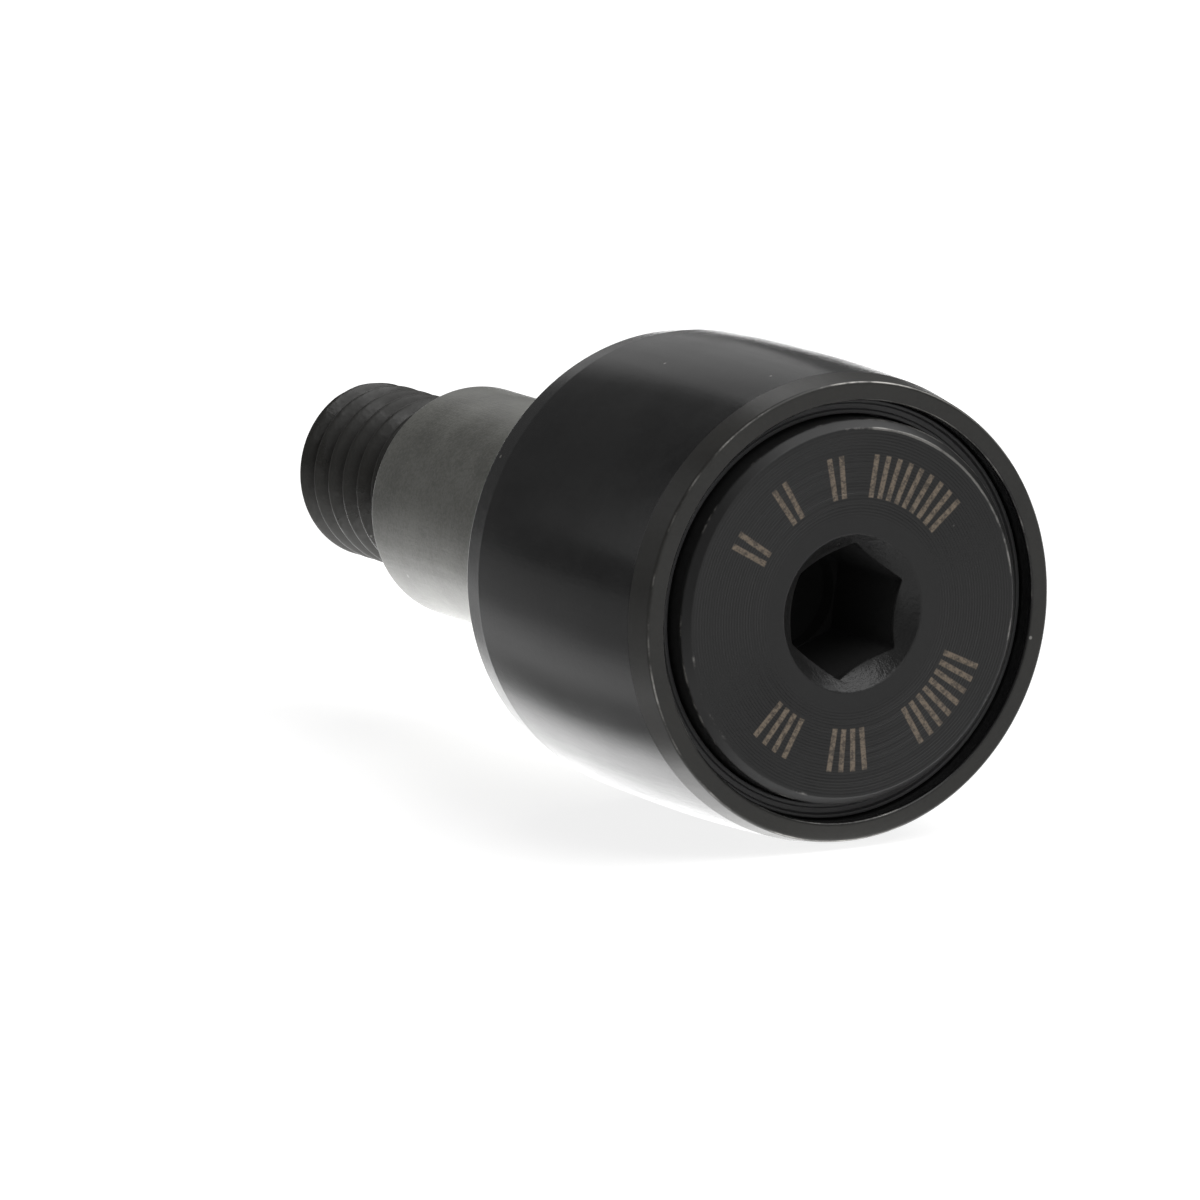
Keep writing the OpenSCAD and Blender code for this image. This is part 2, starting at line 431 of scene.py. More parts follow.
# %% Node group: streaks
STRETCH = 0.06
streaks, gin, gout = new_group("streaks", {"Vector": None, "Size": 1400.0}, ["Streak"])
squeezed = add(streaks, "ShaderNodeMapping", Vector=gin.outputs["Vector"],
               Scale=(1.0, STRETCH, 1.0))
drawn = add(streaks, "ShaderNodeTexNoise", Vector=squeezed.outputs[0],
            Scale=gin.outputs["Size"], Detail=5.0, Roughness=0.65)
streaks.links.new(drawn.outputs[0], gout.inputs["Streak"])

# %% [markdown]
# ## Setting marks
# The head carries two arcs of shallow pale marks. Here they are plain short strokes in groups. They
# stand for no characters and measure nothing. A stroke is drawn where the
# angle is close to a whole number of steps: the distance to the nearest one, times the radius, is
# less than half a stroke's width. A group is a range of angles, so a stroke shows only if the
# number of its step falls in one of them.

# %% Node group: setting marks
STROKE_STEP = math.radians(5.0)
STROKE_WIDTH = 0.15
MARK_INNER, MARK_OUTER = 3.08, 4.22
SOFT = 0.02
MARK_GROUPS = ((8, 16), (19, 20), (24, 25), (29, 30), (-27, -24), (-20, -17), (-12, -5))

setting_marks, gin, gout = new_group("setting_marks", {"Radius": 0.0, "Angle": 0.0}, ["Mark"])
radius, angle = gin.outputs["Radius"], gin.outputs["Angle"]
number = calc(setting_marks, "DIVIDE", angle, STROKE_STEP)
whole = calc(setting_marks, "ROUND", number)
aside = calc(setting_marks, "MULTIPLY", calc(
    setting_marks, "ABSOLUTE", calc(setting_marks, "SUBTRACT", number, whole)
), calc(setting_marks, "MULTIPLY", radius, STROKE_STEP))
stroke = ramp(setting_marks, aside, STROKE_WIDTH / 2 - SOFT, STROKE_WIDTH / 2 + SOFT, 1.0, 0.0)
band = calc(setting_marks, "MULTIPLY",
            ramp(setting_marks, radius, MARK_INNER - SOFT, MARK_INNER + SOFT),
            ramp(setting_marks, radius, MARK_OUTER - SOFT, MARK_OUTER + SOFT, 1.0, 0.0))
grouped = 0.0
for first, last in MARK_GROUPS:
    inside = calc(setting_marks, "COMPARE", whole, (first + last) / 2, (last - first) / 2 + 0.1)
    grouped = calc(setting_marks, "MAXIMUM", grouped, inside)
setting_marks.links.new(
    calc(setting_marks, "MULTIPLY", grouped, calc(setting_marks, "MULTIPLY", stroke, band)),
    gout.inputs["Mark"],
)

# %% [markdown]
# ## Finish of the ring: ground and blackened
# The ring is hardened steel, ground and then blackened. The oxide is almost black with a soft
# shine, so the base is a very dark grey without metal, and an ordinary index of refraction of 1.5
# gives it its reflection. The front face and its shoulder are paler and rougher than the tread.
# Grinding hoops, streaks, a fine grain, worn edges and dust sit on that.

# %% Material: ring black
def start_material(name):
    """A material with a Principled shader, Object coordinates and round coordinates."""
    made = bpy.data.materials.new(name)
    made.use_nodes = True
    tree = made.node_tree
    shader = tree.nodes["Principled BSDF"]
    place = tree.nodes.new("ShaderNodeTexCoord").outputs["Object"]
    around = use(tree, round_place, Vector=place)
    return made, tree, shader, place, around


def stack_bump(tree, shader, layers):
    """Chains Bump nodes: each layer is (height, distance in millimetres, strength)."""
    normal = None
    for height, depth_mm, strength in layers:
        bump = add(tree, "ShaderNodeBump", Height=height, Distance=depth_mm * MM,
                   Strength=strength)
        if normal is not None:
            tree.links.new(normal, bump.inputs["Normal"])
        normal = bump.outputs[0]
    tree.links.new(normal, shader.inputs["Normal"])


def most(tree, values):
    """The largest of several masks."""
    result = values[0]
    for value in values[1:]:
        result = calc(tree, "MAXIMUM", result, value)
    return result


def worn(tree, place, around, edges, width, kept):
    """The wear of several edges, each (radius, station), as one mask."""
    return most(tree, [
        use(tree, edge_wear, Vector=place, Radius=around.outputs["Radius"],
            Station=around.outputs["Station"], Edge_Radius=r, Edge_Station=y,
            Width=width, Kept=kept).outputs[0]
        for r, y in edges
    ])


BARE_STEEL = (0.42, 0.41, 0.39, 1.0)
DUST_COLOUR = (0.30, 0.295, 0.28, 1.0)
OXIDE_IOR = 1.5
RING_DARK, RING_PALE = (0.005, 0.005, 0.0052, 1), (0.015, 0.015, 0.015, 1)
SHOULDER_GREY = (0.037, 0.036, 0.033, 1)
SHOULDER_ROUGHER = 0.14
crown_drop = crown_radius - math.sqrt(
    crown_radius**2 - ((ring_rear - ring_front) / 2 - shoulder_width) ** 2
)
shoulder_r = roller_r - crown_drop
face_r = shoulder_r - shoulder_drop

ring_black, tree, shader, place, around = start_material("ring_black")
film = use(tree, mottle, Vector=place, Size=330.0)
hoops = use(tree, tool_marks, Across=around.outputs["Station"], Pitch=0.045, Unevenness=0.9)
specks = use(tree, dust, Vector=place, Cell=3600.0, Amount=0.005)
flats = use(tree, streaks, Vector=place, Size=1500.0)
wear = worn(tree, place, around,
            [(face_r, ring_front), (face_r, ring_rear), (counterbore_r, ring_front)], 0.055, 0.462)
mixed = calc(tree, "ADD", calc(tree, "MULTIPLY", film.outputs["Cloud"], 0.6),
             calc(tree, "MULTIPLY", film.outputs["Grain"], 0.4))
skin = blend_colour(tree, ramp(tree, mixed, 0.38, 0.62), RING_DARK, RING_PALE)
from_front = calc(tree, "SUBTRACT", around.outputs["Station"], ring_front)
on_shoulder = calc(tree, "MULTIPLY", ramp(tree, from_front, shoulder_width - 0.05,
                                          shoulder_width, 1.0, 0.0),
                   ramp(tree, around.outputs["Radius"], counterbore_r, counterbore_r + 0.1))
uneven_shoulder = calc(tree, "MULTIPLY", on_shoulder, ramp(tree, mixed, 0.3, 0.6, 0.75, 1.0))
skin = blend_colour(tree, uneven_shoulder, skin, SHOULDER_GREY)
skin = blend_colour(tree, wear, skin, BARE_STEEL)
skin = blend_colour(tree, specks.outputs[0], skin, DUST_COLOUR)
tree.links.new(skin, shader.inputs["Base Color"])
tree.links.new(wear, shader.inputs["Metallic"])
rough = calc(tree, "ADD", ramp(tree, film.outputs["Cloud"], 0.3, 0.7, 0.14, 0.21),
             ramp(tree, flats.outputs[0], 0.35, 0.65, 0.0, 0.05))
tree.links.new(calc(tree, "ADD", rough, calc(tree, "MULTIPLY", on_shoulder, SHOULDER_ROUGHER)),
               shader.inputs["Roughness"])
shader.inputs["IOR"].default_value = OXIDE_IOR
stack_bump(tree, shader, [
    (hoops.outputs[0], 0.001, 0.45), (film.outputs["Grain"], 0.005, 0.4),
    (film.outputs["Cloud"], 0.02, 0.10), (flats.outputs[0], 0.014, 0.3)
])

# %% [markdown]
# ## Finish of the stud: turned and blackened
# The stud is turned, not ground, so its head shows rings. Near the socket the rings fade into a
# smoother zone. The countersink is rough from the tool, the rim of the head is worn bright, and
# the thread is oily. Deep inside the socket the colour is painted darker, as painted shade in the
# recess. All of that is one material, because it is one piece of steel: masks made from the radius
# and the station say where each effect belongs.

# %% Material: stud grey
SINK_R = 2.12
SINK_DEPTH = 0.7
WEAR_SHOWN = 0.8
STUD_DARK, STUD_PALE = (0.014, 0.014, 0.0142, 1), (0.025, 0.0248, 0.0248, 1)
# The second grey below is painted shade: a darker colour for the inside of the socket, standing in for shade in
# the recess.
SINK_GREY, SOCKET_SHADE_GREY = (0.018, 0.018, 0.018, 1), (0.013, 0.013, 0.013, 1)
OILY_GREY, MARK_TAN = (0.032, 0.031, 0.028, 1), (0.25, 0.20, 0.15, 1)
stud_grey, tree, shader, place, around = start_material("stud_grey")
radius, station = around.outputs["Radius"], around.outputs["Station"]
film = use(tree, mottle, Vector=place, Size=420.0)
rings = use(tree, tool_marks, Across=radius, Pitch=0.083, Unevenness=0.7)
on_face = ramp(tree, station, head_front + 0.01, head_front + 0.06, 1.0, 0.0)
turned_zone = calc(tree, "MULTIPLY", on_face, calc(
    tree, "MULTIPLY", ramp(tree, radius, 2.45, 2.9), ramp(tree, radius, 4.75, 4.95, 1.0, 0.0)
))
in_sink = calc(tree, "MULTIPLY", ramp(tree, radius, SINK_R - 0.04, SINK_R, 1.0, 0.0),
               calc(tree, "LESS_THAN", station, head_front + SINK_DEPTH))
marks = use(tree, setting_marks, Radius=radius, Angle=around.outputs["Angle"])
etched = calc(tree, "MULTIPLY", calc(tree, "MULTIPLY", marks.outputs[0], on_face),
              ramp(tree, film.outputs["Grain"], 0.35, 0.6, 0.35, 1.0))
wear = worn(tree, place, around,
            [(head_r - head_bevel, head_front), (head_r, head_front + head_bevel)], 0.06, 0.50)
pits = add(tree, "ShaderNodeTexNoise", Vector=place, Scale=5200.0, Detail=3.0, Roughness=0.75)
oily = ramp(tree, station, bushing_end - 0.3, bushing_end)
specks = use(tree, dust, Vector=place, Cell=3300.0, Amount=0.005)
skin = blend_colour(tree, film.outputs["Cloud"], STUD_DARK, STUD_PALE)
skin = blend_colour(tree, in_sink, skin, SINK_GREY)
# Painted shade: deep inside the socket the colour turns darker towards its floor, and the surface also turns
# rougher there.
socket_painted_shade = calc(tree, "MULTIPLY", ramp(tree, radius, SINK_R - 0.1, SINK_R, 1.0, 0.0),
            ramp(tree, station, head_front + 0.3, head_front + SINK_DEPTH))
skin = blend_colour(tree, socket_painted_shade, skin, SOCKET_SHADE_GREY)
skin = blend_colour(tree, oily, skin, OILY_GREY)
skin = blend_colour(tree, etched, skin, MARK_TAN)
skin = blend_colour(tree, calc(tree, "MULTIPLY", wear, WEAR_SHOWN), skin, BARE_STEEL)
skin = blend_colour(tree, specks.outputs[0], skin, DUST_COLOUR)
tree.links.new(skin, shader.inputs["Base Color"])
tree.links.new(calc(tree, "MULTIPLY", wear, WEAR_SHOWN), shader.inputs["Metallic"])
smears = ramp(tree, film.outputs["Cloud"], 0.45, 0.6, 0.12, -0.2)
rough = calc(tree, "ADD", ramp(tree, film.outputs["Cloud"], 0.3, 0.7, 0.36, 0.46),
             calc(tree, "MULTIPLY", oily, smears))
rough = calc(tree, "ADD", rough, calc(tree, "MULTIPLY", etched, 0.15))
rough = calc(tree, "SUBTRACT", rough, calc(tree, "MULTIPLY", in_sink, 0.10))
tree.links.new(calc(tree, "ADD", rough, calc(tree, "MULTIPLY", socket_painted_shade, 0.5)),
               shader.inputs["Roughness"])
shader.inputs["IOR"].default_value = OXIDE_IOR
stack_bump(tree, shader, [
    (calc(tree, "MULTIPLY", rings.outputs[0], turned_zone), 0.0065, 1.0),
    (film.outputs["Grain"], 0.004, 0.3),
    (calc(tree, "MULTIPLY", pits.outputs[0], in_sink), 0.03, 0.8),
    (calc(tree, "MULTIPLY", film.outputs["Cloud"], oily), 0.12, 0.8),
])

# %% [markdown]
# ## Finish of the bushing, the seals and the inner parts
# The bushing is phosphated: a dull, pale grey coat of fine crystals with a soft shine. The seals
# are moulded nylon, dark grey and a little glossy. Needles and back plates are bright ground
# steel, which only shows when the follower is taken apart.

# %% Materials: sleeve grey, seal black, needle bright
PHOSPHATE_IOR = 1.6
SLEEVE_DARK, SLEEVE_PALE = (0.12, 0.12, 0.108, 1), (0.225, 0.225, 0.205, 1)
SEAL_DARK, SEAL_PALE = (0.062, 0.062, 0.063, 1), (0.085, 0.085, 0.087, 1)
STEEL_DARK, STEEL_PALE = (0.50, 0.50, 0.49, 1), (0.62, 0.62, 0.61, 1)

sleeve_grey, tree, shader, place, around = start_material("sleeve_grey")
film = use(tree, mottle, Vector=place, Size=520.0)
specks = use(tree, dust, Vector=place, Cell=2600.0, Amount=0.005)
flats = use(tree, streaks, Vector=place, Size=1000.0)
coat = calc(tree, "ADD", calc(tree, "MULTIPLY", film.outputs["Cloud"], 0.5),
            calc(tree, "MULTIPLY", film.outputs["Grain"], 0.5))
skin = blend_colour(tree, ramp(tree, coat, 0.35, 0.65), SLEEVE_DARK, SLEEVE_PALE)
skin = blend_colour(tree, specks.outputs[0], skin, DUST_COLOUR)
tree.links.new(skin, shader.inputs["Base Color"])
tree.links.new(ramp(tree, film.outputs["Grain"], 0.3, 0.7, 0.30, 0.44), shader.inputs["Roughness"])
shader.inputs["IOR"].default_value = PHOSPHATE_IOR
stack_bump(tree, shader, [
    (film.outputs["Grain"], 0.012, 0.6), (film.outputs["Cloud"], 0.05, 0.3),
    (flats.outputs[0], 0.05, 0.45)
])

seal_black, tree, shader, place, around = start_material("seal_black")
film = use(tree, mottle, Vector=place, Size=600.0)
skin = blend_colour(tree, film.outputs["Cloud"], SEAL_DARK, SEAL_PALE)
tree.links.new(skin, shader.inputs["Base Color"])
tree.links.new(ramp(tree, film.outputs["Cloud"], 0.3, 0.7, 0.30, 0.42), shader.inputs["Roughness"])
stack_bump(tree, shader, [(film.outputs["Grain"], 0.003, 0.3)])

needle_bright, tree, shader, place, around = start_material("needle_bright")
film = use(tree, mottle, Vector=place, Size=300.0)
hoops = use(tree, tool_marks, Across=around.outputs["Station"], Pitch=0.06, Unevenness=0.9)
skin = blend_colour(tree, film.outputs["Cloud"], STEEL_DARK, STEEL_PALE)
tree.links.new(skin, shader.inputs["Base Color"])
tree.links.new(ramp(tree, film.outputs["Grain"], 0.3, 0.7, 0.16, 0.26), shader.inputs["Roughness"])
shader.inputs["Metallic"].default_value = 1.0
stack_bump(tree, shader, [(hoops.outputs[0], 0.0006, 0.3)])

for node_name, node in frame["nodes"].items():
    if node_name.startswith("needle_") or node_name.endswith("_back_plate"):
        for material_slot in node.material_slots:
            material_slot.link = "OBJECT"
            material_slot.material = needle_bright

# %% [markdown]
# ## The outer ring
# The tread is crowned: its section is a long, flat arc, so the ring still runs on its middle when
# the stud is not quite square. At each end a shallow shoulder leads to the flat face. Inside are
# two counterbores for the seals and the raceway between them. The crown's radius at a station y
# is roller_r - R + sqrt(R^2 - (y - middle)^2), with R the crown radius.

# %% Build the outer ring
ring_middle = (ring_front + ring_rear) / 2
tread_y = np.linspace(ring_front + shoulder_width, ring_rear - shoulder_width, 33)
tread_r = roller_r - crown_radius + np.sqrt(crown_radius**2 - (tread_y - ring_middle) ** 2)
tread = [(r, y, 0) for r, y in zip(tread_r[1:-1], tread_y[1:-1])]
ring_corners = [
    (counterbore_r, ring_front, 0.09),
    (face_r, ring_front, 0.1),
    (shoulder_r, tread_y[0], 0.3),
    *tread,
    (shoulder_r, tread_y[-1], 0.3),
    (face_r, ring_rear, 0.06),
    (counterbore_r, ring_rear, 0.04),
    (counterbore_r, ring_rear - counterbore_depth, 0.03),
    (outer_race_r, ring_rear - counterbore_depth, 0.05),
    (outer_race_r, ring_front + counterbore_depth, 0.05),
    (counterbore_r, ring_front + counterbore_depth, 0.03),
]
turned("outer_ring_ground", ring_corners, "roller", ring_black, "outer_ring")

# %% [markdown]
# ## The end plate and the bushing
# The end plate is a plain washer with eased edges. The bushing is not a solid of revolution: its
# outside is round about the mounting hole's axis and its bore about the stud's axis, a quarter of
# a millimetre away. So each point of its section also says how far its circle is shifted.

# %% Build the end plate and the bushing
bushing_start = stations("eccentric_bushing")[0]
RELIEF_R = bushing_r + stud_x + 0.1
plate_corners = [
    (seat_r, plate_front, 0.03),
    (head_r, plate_front, 0.1),
    (head_r, clamp_face, 0.1),
    (RELIEF_R, clamp_face, 0.02),
    (RELIEF_R, bushing_start, 0.02),
    (seat_r, bushing_start, 0.03),
]
turned("end_plate_turned", plate_corners, "mounted_stud", ring_black, "end_plate")

BUSHING_EASE = 0.2
sleeve_path = outline([
    (shank_r, bushing_start, 0.03),
    (bushing_r, bushing_start, 0.04),
    (bushing_r, bushing_end - BUSHING_EASE, 0.12),
    (bushing_r - BUSHING_EASE, bushing_end, 0.06),
    (shank_r, bushing_end, 0.05),
])
sleeve_shift = stud_x * np.clip((bushing_r - BUSHING_EASE - sleeve_path[:, 0])
                                / (bushing_r - BUSHING_EASE - shank_r), 0, 1)
sleeve_grid = revolve(sleeve_path, 0.0)
sleeve_grid[..., 0] += sleeve_shift[:, None]
solid("bushing_sleeve", sleeve_grid, quads(len(sleeve_grid), SEGMENTS, True),
      "mounted_stud", sleeve_grey, "eccentric_bushing")

# %% [markdown]
# ## The seals
# Each seal is a moulded angle ring. Its rim fills the groove between the ring and the head, with
# two fine ridges that can just be seen in the dark of the groove, and its web lies behind the
# head. The rear seal is the front one turned round.

# %% Build the seals
RIM_GAP = 0.05
RIDGE = 0.05
rim_inner = head_r + RIM_GAP


def seal_corners(rim, web_near, web_far):
    """Corners of a seal. The rim's face is at station rim, the web between the other two."""
    out = math.copysign(1.0, rim - web_near)
    valley = rim - out * 2 * RIDGE
    return [
        (inner_race_r + RIM_GAP, web_near, 0.04),
        (rim_inner, web_near, 0.03),
        (rim_inner, rim - out * RIDGE, 0.03),
        (rim_inner + 0.10, rim - out * RIDGE, 0.02),
        (rim_inner + 0.14, valley, 0.02),
        (counterbore_r - 0.16, valley, 0.02),
        (counterbore_r - 0.12, rim, 0.025),
        (counterbore_r - 0.04, rim, 0.03),
        (counterbore_r, rim - out * 0.12, 0.03),
        (counterbore_r, web_far, 0.04),
        (inner_race_r + RIM_GAP, web_far, 0.04),
    ]


WEB = 0.3
turned("front_seal_moulded", seal_corners(front_rim, front_web_rear - WEB, front_web_rear),
       "roller", seal_black, "front_seal")
turned("rear_seal_moulded", seal_corners(rear_rim, rear_web_front + WEB, rear_web_front),
       "roller", seal_black, "rear_seal")

# %% [markdown]
# ## The stud: head and socket
# The stud is one piece of steel, so it is one closed mesh. It starts at the drill point deep in
# the socket and ends at the far end of the thread. Inside the socket the radius depends on the
# angle: a hexagon of width w across flats has the radius (w / 2) / cos(a), with a the angle from
# the middle of the nearest flat. The countersink is a cone at 45 degrees, so where it meets the
# hexagon its depth is the countersink's radius less the hexagon's, and that gives the scallops.

# %% Rows of the socket
HEX_ACROSS = INCH / 8
HEX_DEPTH = 3.6
PILOT_R = HEX_ACROSS / 2 - 0.02
SIXTH = math.pi / 3
from_flat = (ANGLES - HEX_TURN) % SIXTH - SIXTH / 2
hex_r = np.minimum(HEX_ACROSS / 2 / np.cos(from_flat), HEX_ACROSS / 2 / math.cos(SIXTH / 2) - 0.02)


def ring_rows(radii, heights):
    """Rows of points about the stud's axis. Radii and stations broadcast to rows x angles."""
    r, y, angle = np.broadcast_arrays(radii, heights, ANGLES)
    return np.stack([stud_x + r * np.cos(angle), y, r * np.sin(angle)], axis=-1)


def column(values):
    """A list of numbers as a column, one row of the grid each."""
    return np.array(values, float)[:, None]


mouth = corner_arc(np.array([1.0, head_front + SINK_R - 1.0]), np.array([SINK_R, head_front]),
                   np.array([head_r, head_front]), 0.05)
hex_floor = head_front + HEX_DEPTH
edge_y = head_front + SINK_R - hex_r
pilot_rows = ring_rows(column([0, 0.4, PILOT_R - 0.02, PILOT_R, PILOT_R, PILOT_R + 0.004]),
                       column([hex_floor + 1.3, hex_floor + 1.1, hex_floor + 0.52,
                               hex_floor + 0.48, hex_floor + 0.02, hex_floor]))
share = column([0.0, 0.02, 0.2, 0.4, 0.6, 0.8, 0.97, 1.0])
wall_rows = ring_rows(hex_r, hex_floor + share * (edge_y - hex_floor))
share = column([0.04, 0.15, 0.3, 0.5, 0.7, 0.85, 0.96])
cone_r = hex_r + share * (mouth[0, 0] - hex_r)
cone_rows = ring_rows(cone_r, head_front + SINK_R - cone_r)
print("socket: flats", round(2 * float(hex_r.min()), 3), "mm across")

# %% [markdown]
# ## The stud: face, shank and undercut
# From the countersink outwards the section is a plain lathe outline again: the face, the bevel,
# the rim, the back of the head, the raceway that the needles roll on, the seat of the end plate,
# the shank inside the bushing and the undercut where the thread tool starts.

# %% Rows of the head and the shank
THREAD_PITCH = INCH / 32
THREAD_DEPTH = 0.6134 * THREAD_PITCH
THREAD_START = bushing_end + 0.45
END_BEVEL = 0.6
root_r = shank_r - THREAD_DEPTH
face_rows = np.column_stack([np.linspace(mouth[-1, 0] + SUPPORT, head_r - head_bevel - 0.15, 24),
                             np.full(24, head_front)])
shank_corners = [
    (head_r - head_bevel - 0.1, head_front, 0),
    (head_r - head_bevel, head_front, 0.1),
    (head_r, head_front + head_bevel, 0.12),
    (head_r, head_rear, 0.1),
    (inner_race_r, head_rear, 0.05),
    (inner_race_r, plate_front, 0.05),
    (seat_r, plate_front, 0.02),
    (seat_r, bushing_start, 0.02),
    (shank_r, bushing_start, 0.02),
    (shank_r, bushing_end - 0.05, 0.06),
    (root_r, bushing_end + 0.12, 0.15),
    (root_r, THREAD_START, 0),
]
body_rows = revolve(np.vstack([mouth, face_rows, outline(shank_corners, closed=False)]), stud_x)

# %% [markdown]
# ## The stud: a real thread
# A screw thread is a profile carried along a helix. Along the axis it repeats every pitch, and
# each turn moves it on by one pitch: the phase is y / pitch + angle / one turn, which makes it
# right-handed here. The flanks stand at 60 degrees, so the radius drops by 1.732 mm for each
# millimetre from the crest. Averaging the profile over a short stretch rounds crest and root. The
# grid itself follows the helix, so no row cuts across a flank. At both ends the rows are held at
# the last station, and the doubles merge into the neighbouring circle.

# %% Rows of the thread
CREST_FLAT = THREAD_PITCH / 8
FLANK = math.tan(math.radians(60))
ROUNDING = np.linspace(-0.055, 0.055, 9)
ROWS_PER_PITCH = 22
RUN_OUT = 0.5


def thread_radius(y, angle):
    """Radius of the thread at a station and an angle, with run-in, end bevel and soft edges."""
    phase = (y - THREAD_START) / THREAD_PITCH + angle / (2 * math.pi)
    from_crest = np.abs(phase - np.round(phase)) * THREAD_PITCH
    drop = 0.0
    for shift in ROUNDING:
        drop = drop + np.clip((np.abs(from_crest + shift) - CREST_FLAT / 2) * FLANK,
                              0, THREAD_DEPTH) / len(ROUNDING)
    t = np.clip((y - THREAD_START) / RUN_OUT, 0, 1)
    profile = root_r + (THREAD_DEPTH - drop) * t * t * (3 - 2 * t)
    bevel = shank_r - END_BEVEL + (stud_end - y)
    return np.minimum(profile, bevel)


turns = int(math.ceil((stud_end - THREAD_START) / THREAD_PITCH)) + 1
walk = np.arange(turns * SEGMENTS + 1)[:, None]
rise = np.linspace(0, 1, ROWS_PER_PITCH + 1)[None, :]
helix_angle = ANGLES[0] - walk * 2 * math.pi / SEGMENTS
helix_y = THREAD_START - THREAD_PITCH + THREAD_PITCH * (walk / SEGMENTS + rise)
held_y = np.clip(helix_y, THREAD_START, stud_end)
helix_r = thread_radius(held_y, helix_angle)
thread_points = np.stack([stud_x + helix_r * np.cos(helix_angle), held_y,
                          helix_r * np.sin(helix_angle)], axis=-1)
thread_faces = quads(walk.size, ROWS_PER_PITCH + 1, False, closed_columns=False)
corner_y = helix_y.reshape(-1)[thread_faces]
alive = (corner_y.min(1) < stud_end - 1e-9) & (corner_y.max(1) > THREAD_START + 1e-9)
thread_faces = thread_faces[alive]

end_r = shank_r - END_BEVEL
end_rows = ring_rows(column([end_r, end_r - 0.03, end_r * 0.6, end_r * 0.3, 0]),
                     column([stud_end, stud_end, stud_end, stud_end, stud_end]))

# %% Join the stud's rows into one mesh
lathe_points = np.concatenate([pilot_rows, wall_rows, cone_rows, body_rows])
lathe_faces = quads(len(lathe_points), SEGMENTS, False)
end_faces = quads(len(end_rows), SEGMENTS, False)
parts, faces, first = [], [], 0
for points, part_faces in ((lathe_points, lathe_faces), (thread_points, thread_faces),
                           (end_rows, end_faces)):
    parts.append(points.reshape(-1, 3))
    faces.append(part_faces + first)
    first += len(parts[-1])
solid("stud_turned", np.concatenate(parts), np.concatenate(faces),
      "mounted_stud", stud_grey, "stud")

# %% [markdown]
# ## Floor and light
# A black part shows only what it reflects, so the light matters more than the paint. The floor is
# a pale light table, and the camera sees it evenly white. The part sees something else: a bright
# patch right under the roller, which makes the tread's lower edge fade to white, and a dimmer
# strip on the floor to the left, with nothing in between, which keeps the tread's side dark. The
# camera sees a white backdrop and the part sees a dark studio. Five soft boxes light it: a low and
# a high panel behind on the right, which draw the bands along the top of the tread, a panel behind
# on the left, a large one overhead, and a fill from the front.

# %% Floor
floor_z = cad_low.z - 0.01 * MM
FLOOR_HALF = 0.75
FLOOR_SEEN = 0.80                                  # what the camera sees
UNDER_GLOW = 1.95                                  # what the part sees under the roller
STRIP_GLOW, STRIP_REST = 0.5, 0.35                 # beside it, and the share kept towards it
floor_mesh = bpy.data.meshes.new("floor")
floor_mesh.from_pydata([(-FLOOR_HALF, -FLOOR_HALF, floor_z), (FLOOR_HALF, -FLOOR_HALF, floor_z),
                        (FLOOR_HALF, FLOOR_HALF, floor_z), (-FLOOR_HALF, FLOOR_HALF, floor_z)],
                       [], [(0, 1, 2, 3)])
floor = bpy.data.objects.new("floor", floor_mesh)
bpy.context.scene.collection.objects.link(floor)
floor_white, tree, shader, place, around = start_material("floor_white")
split = add(tree, "ShaderNodeSeparateXYZ", Vector=place)
beside = calc(tree, "MULTIPLY", ramp(tree, split.outputs["X"], -17 * MM, -10.5 * MM, 0.0,
                                    STRIP_GLOW),
              ramp(tree, split.outputs["X"], -9.5 * MM, -7.5 * MM, 1.0, STRIP_REST))
under = calc(tree, "MULTIPLY", ramp(tree, split.outputs["X"], -6.6 * MM, -4.6 * MM),
             ramp(tree, split.outputs["Y"], -12 * MM, -9 * MM))
table_glow = calc(tree, "ADD", beside, calc(tree, "MULTIPLY", under, UNDER_GLOW))
seen = tree.nodes.new("ShaderNodeLightPath").outputs["Is Camera Ray"]
glow = calc(tree, "ADD", calc(tree, "MULTIPLY", seen, FLOOR_SEEN),
            calc(tree, "MULTIPLY", calc(tree, "SUBTRACT", 1.0, seen), table_glow))
shader.inputs["Base Color"].default_value = (0.6, 0.6, 0.6, 1)
shader.inputs["Roughness"].default_value = 1.0
shader.inputs["Specular IOR Level"].default_value = 0.0
shader.inputs["Emission Color"].default_value = (1, 1, 1, 1)
tree.links.new(glow, shader.inputs["Emission Strength"])
floor_mesh.materials.append(floor_white)

# %% Surroundings
SURROUND = 0.15
world = bpy.data.worlds.new("studio")
bpy.context.scene.world = world
world.use_nodes = True
tree = world.node_tree
seen = tree.nodes.new("ShaderNodeLightPath").outputs["Is Camera Ray"]
backdrop = calc(tree, "ADD", calc(tree, "MULTIPLY", seen, 1.0 - SURROUND), SURROUND)
tree.nodes["Background"].inputs["Color"].default_value = (1, 1, 1, 1)
tree.links.new(backdrop, tree.nodes["Background"].inputs["Strength"])


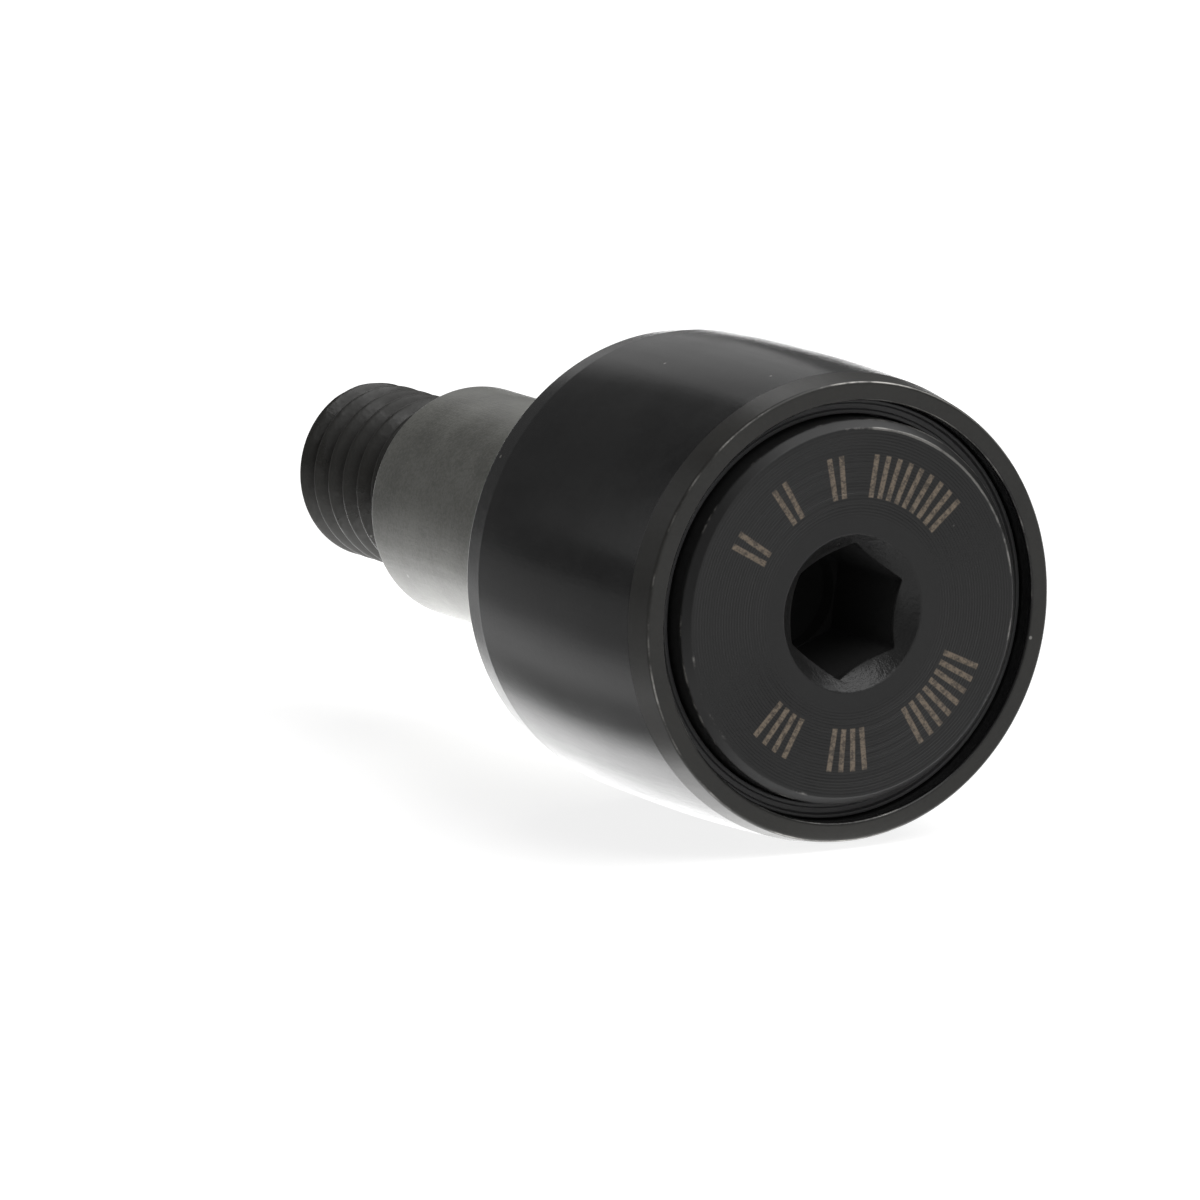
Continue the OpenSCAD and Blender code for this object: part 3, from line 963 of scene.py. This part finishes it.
# %% Lights
def soft_box(name, azimuth_deg, height_deg, size_deg, brightness, distance_mm=400.0):
    """A rectangular soft light that faces the part.

    Its direction is an azimuth, from +Y towards +X, and a height above the horizon. Its size is
    given as the angles that it fills, across and up. Its radiance is the brightness."""
    turn, rise = math.radians(azimuth_deg), math.radians(height_deg)
    out = Vector((math.sin(turn) * math.cos(rise), math.cos(turn) * math.cos(rise),
                  math.sin(rise)))
    across = Vector((math.cos(turn), -math.sin(turn), 0.0))
    lamp = bpy.data.lights.new(name, "AREA")
    lamp.shape = "RECTANGLE"
    lamp.size, lamp.size_y = (2 * distance_mm * MM * math.tan(math.radians(a / 2))
                              for a in size_deg)
    lamp.energy = brightness * math.pi * lamp.size * lamp.size_y
    holder = bpy.data.objects.new(name, lamp)
    axes = Matrix((across, out.cross(across), out)).transposed().to_4x4()
    holder.matrix_world = Matrix.Translation(out * distance_mm * MM) @ axes
    bpy.context.scene.collection.objects.link(holder)


soft_box("right_low_panel", 22, 21, (19, 26), 0.36)
soft_box("right_high_panel", 25, 53, (24, 26), 1.3)
soft_box("left_panel", -42, 26, (16, 34), 0.42)
soft_box("top_panel", 128, 58, (70, 44), 1.9)
soft_box("front_fill", 180, 20, (40, 30), 0.5)

# %% [markdown]
# ## The camera
# A long lens from some way off shows the face of the roller, its tread and the stud behind it. It
# looks from the left of the axis and a little from above. The middle of its view lies beside the
# head, between it and the thread.

# %% Camera
VIEW_AZIMUTH = math.radians(-30.14)
VIEW_ELEVATION = math.radians(10.36)
view_forward = Vector((-math.sin(VIEW_AZIMUTH) * math.cos(VIEW_ELEVATION),
                       math.cos(VIEW_AZIMUTH) * math.cos(VIEW_ELEVATION),
                       -math.sin(VIEW_ELEVATION)))
view_right = Vector((math.cos(VIEW_AZIMUTH), math.sin(VIEW_AZIMUTH), 0.0))
view_up = view_right.cross(view_forward)
CAMERA_DISTANCE = 415.755
LENS = 475.9
AIM_RIGHT, AIM_UP = -6.519, 0.313
head_middle = Vector((stud_x, head_front + head_bevel, 0.0))
aim = head_middle + AIM_RIGHT * view_right + AIM_UP * view_up
lens = bpy.data.cameras.new("camera")
lens.lens = LENS
lens.sensor_width = 36.0
lens.clip_start, lens.clip_end = 0.01, 10.0
camera = bpy.data.objects.new("camera", lens)
axes = Matrix((view_right, view_up, -view_forward)).transposed().to_4x4()
camera.matrix_world = Matrix.Translation((aim - CAMERA_DISTANCE * view_forward) * MM) @ axes
bpy.context.scene.collection.objects.link(camera)
bpy.context.scene.camera = camera
bpy.context.scene.view_settings.view_transform = "Standard"
